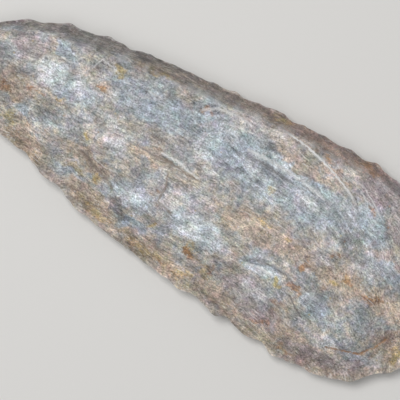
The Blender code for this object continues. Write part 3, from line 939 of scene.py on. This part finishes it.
# a line through points: the largest of its pieces
def nearLine(place, points, width):
    nearest = None
    for first, last in zip(points, points[1:]):
        piece = nearPiece(place, first, last, width)
        nearest = piece if nearest is None else compute("MAXIMUM", nearest, piece)
    return nearest


# an arc round the ripples' centre: 1 at its core and 0 from its width outwards, faded at both ends
def nearArc(place, radius, first, last, width):
    away = computeVector("DISTANCE", {0: place, 1: (*ripples["centre"], 0)}, "Value")
    off = compute("ABSOLUTE", compute("SUBTRACT", away, radius))
    split = addNode("SeparateXYZ", {0: place}).outputs
    fade = times(ramp(split[0], first, first + ripples["fade"]),
                 ramp(split[0], last, last - ripples["fade"]))
    fade = times(fade, compute("GREATER_THAN", split[1], 0.0))
    return times(ramp(off, width, width * flintLooks["core"]), fade)


# lines drawn in colour: kind, points or (radius, from x, to x), width in millimetres, strength
drawnLines = [
    # the first dark line is painted shade on the face of the hinged step
    ("dark", [(13.6, -8.9), (16.4, -7.4), (19.0, -6.9), (22.4, -6.8), (24.8, -7.4)], 0.46, 0.60),
    ("white", [(14.6, -9.3), (17.0, -8.6), (20.0, -8.4)], 0.50, 0.55),
    ("dark", hingeCrack, 0.32, 0.75),
    ("rust", [(37.3, -14.8), (40.4, -13.6), (43.7, -12.3), (45.6, -9.6), (46.6, -6.8)], 0.30, 0.85),
    # the brown line in the crack near y = -1 is partly the crack's brown and partly painted shade
    # below the raised seam; the white line along that seam is a painted highlight on its upper side
    ("brown", [(-12.4, -1.2), (-9.0, -0.7), (-4.5, -0.9), (-2.4, -0.4)], 0.40, 0.75),
    ("white", [(-11.6, 0.0), (-8.0, 0.4), (-5.5, 0.0), (-2.6, -0.3)], 0.30, 0.65),
    ("white", [(2.4, 9.9), (7.0, 10.5), (11.2, 10.6), (16.0, 10.5), (20.4, 9.9)], 0.50, 0.50),
    ("white", [(-9.4, 11.8), (-7.0, 13.6), (-3.0, 14.6), (0.4, 14.4)], 0.40, 0.45),
    ("dark", [(3.0, 8.6), (8.0, 9.2), (13.0, 9.1)], 0.60, 0.45),
    ("brown", [(-8.6, -2.5), (-7.4, -5.0), (-7.2, -8.4), (-3.6, -9.2)], 0.32, 0.70),
    ("dark", narrowCrack, 0.26, 0.45),
    ("brown", lowerCrack, 0.45, 0.55),
    ("white", [(-34.0, 3.4), (-32.6, 6.4), (-31.7, 9.3), (-27.5, 8.9)], 0.24, 0.40),
    ("dark", [(-21.5, -1.9), (-17.0, -1.4), (-12.5, -1.3)], 0.26, 0.50),
    ("white", [(-23.0, -8.2), (-20.0, -8.6), (-17.0, -8.2)], 0.26, 0.35),
    ("white", [(24.8, 15.6), (28.0, 14.2), (29.6, 13.9)], 0.28, 0.60),
    ("white", [(-42.0, 3.6), (-38.5, 5.2), (-35.0, 5.6)], 0.28, 0.30),
]
# the white arcs are painted highlights on the ripples' crests, and the thin dark arc just inside the
# largest white one is painted shadow; the wider dark arcs are darker bands
drawnArcs = [
    ("white", 42.75, 6.0, 27.0, 0.28, 0.95),
    ("white", 45.9, 24.0, 34.0, 0.24, 0.60),
    ("white", 39.2, -6.0, 4.0, 0.24, 0.35),
    ("dark", 42.2, 8.0, 28.0, 0.26, 0.30),
    ("dark", 35.0, 2.0, 14.0, 0.40, 0.45),
    ("dark", 38.2, 12.0, 24.0, 0.50, 0.35),
    ("dark", 32.0, 18.0, 32.0, 0.60, 0.45),
]


# ground of blue-grey and tan, then zones, margins and spots of colour, each with a ragged edge; the
# steep edge's stain is brown, and redder to the right
def patchedColour(place, breakUp, fineBreak):
    looks = flintLooks
    drift = noiseOf(place, *looks["driftNoise"])
    mixed = meanOf(breakUp, drift)
    colour = blendColour(ramp(drift, *looks["groundCut"]), looks["blueGrey"], looks["tan"])
    for kind, amount in looks["zones"]:
        colour = overlaid(colour, kind, ragged(kind, mixed, looks["zoneCut"]), amount)
    along = addNode("SeparateXYZ", {0: place}).outputs[0]
    stain = looks["greyBrown"]
    for kind, first, last in looks["stainChanges"]:
        stain = blendColour(ramp(along, first, last), stain, looks[kind])
    for (name, cut, amount), over in zip(looks["margins"], (stain, looks["earth"])):
        stained = times(ragged(name, breakUp, cut), amount)
        colour = blendColour(stained, colour, over)
    for kind, amount in looks["spots"]:
        spot = ragged(kind, fineBreak, looks["spotCut"], looks["spotBreakUp"])
        colour = overlaid(colour, kind, spot, amount)
    return colour


# hues drift at two sizes, and shades swing at several, some drawn out along the grain or across it
def mottledColour(colour, place, longGrain):
    looks = flintLooks
    for size, strength in looks["hues"]:
        swing = swingColour(place, size, strength)
        colour = blendColour(1.0, colour, swing, "MULTIPLY")
    crossGrain = drawnOut(place, looks["crossShare"], looks["crossTurn"])
    layers = [(place, *shade) for shade in looks["shades"]]
    layers += [(longGrain, *shade) for shade in looks["grainShades"]]
    layers += [(crossGrain, *shade) for shade in looks["crossShades"]]
    return computeVector("SCALE", {0: colour, "Scale": swingShade(layers)})


# lines and arcs on the top, among them painted highlights and painted shade along a ridge, the hinged
# step and the ripples, drawn a little unsteady: at the place from above plus a noise less a half
def drawnColour(colour, place, fineBreak):
    looks = flintLooks
    wobble = centredNoise(place, *looks["wobbleNoise"])
    flat = computeVector("MULTIPLY", {0: place, 1: (1, 1, 0)})
    unsteady = computeVector("MULTIPLY_ADD", {0: wobble, 1: (1, 1, 0), 2: flat})
    height = addNode("SeparateXYZ", {0: place}).outputs[2]
    onTop = ramp(height, *looks["drawnAbove"])
    lineBreak = ramp(fineBreak, *looks["lineCut"])
    arcBreak = ramp(fineBreak, *looks["arcCut"])
    for kind, points, width, amount in drawnLines:
        strength = times(nearLine(unsteady, points, width), onTop)
        if kind in looks["brokenKinds"]:
            strength = times(strength, lineBreak)
        colour = overlaid(colour, kind, strength, amount)
    for kind, radius, first, last, width, amount in drawnArcs:
        strength = times(nearArc(unsteady, radius, first, last, width), onTop)
        colour = overlaid(colour, kind, times(strength, arcBreak), amount)
    return colour


# small scattered stains, picked cell by cell, and fine flecks where the grain's noise peaks
def scatteredColour(colour, place, grain, longGrain):
    looks = flintLooks
    for kind, size, share, reach, amount in looks["stains"]:
        cells = addNode("TexVoronoi", {"Vector": place, "Scale": 1 / size}).outputs
        number = addNode("SeparateColor", {"Color": cells["Color"]}).outputs[0]
        chosen = compute("LESS_THAN", number, share)
        spot = ramp(cells["Distance"], reach, reach * looks["core"])
        colour = overlaid(colour, kind, times(chosen, spot), amount)
    scratchGrain = drawnOut(grain, looks["scratchShare"])
    streaked = ramp(noiseOf(place, *looks["streakNoise"]), *looks["streakCut"])
    for scratched, size, kind, cut, amount in looks["flecks"]:
        noise = noiseOf(scratchGrain if scratched else longGrain, size, *looks["fleckNoise"])
        colour = overlaid(colour, kind, times(ramp(noise, *cut), streaked), amount)
    return colour


# the rim lighter, and painted highlights on ridges and painted shade in hollows
def paleRimAndRidgeShading(colour, breakUp):
    looks = flintLooks
    # lighter along the rim, where the noise is high
    rim = times(ramp(attributeOf("rim"), *looks["rimCut"]),
                ramp(breakUp, *looks["rimBreakCut"]))
    colour = overlaid(colour, "pale", rim, looks["rimAmount"])
    # painted highlight where the surface stands above its smoothed height, painted shade where it
    # lies below
    ridge = attributeOf("ridge")
    for kind, cut, amount in looks["ridges"]:
        colour = overlaid(colour, kind, ramp(ridge, *cut), amount)
    return colour


# the whole finish: colour, a roughness that swings, and bumps of grit and of lines along the grain
def finishFlint():
    looks = flintLooks
    shader = tree.nodes["Principled BSDF"]
    place = attributeOf("place", "Vector")
    grain = attributeOf("grain", "Vector")
    longGrain = drawnOut(grain, looks["grainShare"])
    breakUp = noiseOf(place, *looks["breakNoise"])
    fineBreak = meanOf(breakUp, noiseOf(place, *looks["fineNoise"]))
    colour = patchedColour(place, breakUp, fineBreak)
    colour = mottledColour(colour, place, longGrain)
    colour = drawnColour(colour, place, fineBreak)
    colour = scatteredColour(colour, place, grain, longGrain)
    colour = paleRimAndRidgeShading(colour, breakUp)
    tree.links.new(colour, shader.inputs["Base Color"])
    rough = times(noiseOf(place, *looks["glossNoise"]), looks["roughnessSwing"])
    rough = compute("ADD", rough, looks["leastRoughness"])
    tree.links.new(rough, shader.inputs["Roughness"])
    shader.inputs["IOR"].default_value = looks["refraction"]
    grit = times(noiseOf(place, *looks["gritNoise"]), looks["gritHeight"])
    lines = times(noiseOf(longGrain, *looks["lineNoise"]), looks["lineHeight"])
    height = compute("ADD", grit, lines)
    bump = addNode("Bump", {"Height": height, "Strength": 1.0, "Distance": 1.0})
    tree.links.new(bump.outputs[0], shader.inputs["Normal"])


# the camera, lights and floor: metres and watts
studio = {
    "turn": math.radians(33),
    "aim": (-0.2 * mm, -3.7 * mm),
    "frameWidth": 81.4 * mm,
    "lens": 150.0,
    "sensor": 36.0,
    "floorColour": (0.72, 0.71, 0.69, 1),
    "floorRoughness": 0.8,
    "floorSize": 3.0,
    "key": {"place": (-0.24, 0.06, 0.62), "size": 0.28, "power": 2.65},
    "fill": {"place": (0.10, -0.18, 0.72), "size": 0.60, "power": 1.3},
    "ambient": 0.20,
}


# a square light that faces the blade
def addLight(name, settings):
    data = bpy.data.lights.new(name, "AREA")
    data.size = settings["size"]
    data.energy = settings["power"]
    made = bpy.data.objects.new(name, data)
    made.location = settings["place"]
    made.rotation_euler = (-made.location).to_track_quat("-Z", "Y").to_euler()
    bpy.context.scene.collection.objects.link(made)


# a square floor, two lights, a soft room and the camera, which stands where the picture is as wide
# as the frame at the rim's height
def buildStudio():
    half = studio["floorSize"] / 2
    corners = [(-half, -half, 0), (half, -half, 0), (half, half, 0), (-half, half, 0)]
    mesh = bpy.data.meshes.new("floor")
    mesh.from_pydata(corners, [], [(0, 1, 2, 3)])
    floor = bpy.data.objects.new("floor", mesh)
    bpy.context.scene.collection.objects.link(floor)
    material = bpy.data.materials.new("paleFloor")
    material.use_nodes = True
    shader = material.node_tree.nodes["Principled BSDF"]
    shader.inputs["Base Color"].default_value = studio["floorColour"]
    shader.inputs["Roughness"].default_value = studio["floorRoughness"]
    mesh.materials.append(material)
    addLight("key", studio["key"])
    addLight("fill", studio["fill"])
    world = bpy.data.worlds.new("softRoom")
    world.use_nodes = True
    background = world.node_tree.nodes["Background"]
    background.inputs["Color"].default_value = (1, 1, 1, 1)
    background.inputs["Strength"].default_value = studio["ambient"]
    bpy.context.scene.world = world
    bpy.context.scene.view_settings.view_transform = "Standard"

    data = bpy.data.cameras.new("camera")
    data.lens = studio["lens"]
    data.sensor_width = studio["sensor"]
    camera = bpy.data.objects.new("camera", data)
    away = studio["frameWidth"] * studio["lens"] / studio["sensor"]
    camera.location = (*studio["aim"], form["rimHeight"] + away)
    camera.rotation_euler = (0, 0, studio["turn"])
    bpy.context.scene.collection.objects.link(camera)
    bpy.context.scene.camera = camera
    print("the studio is set")


stone = buildBlade()
finishFlint()
stone.data.materials.append(flint)
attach(stone, "root")
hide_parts("flint_blade")
print("the flint has its finish")
buildStudio()
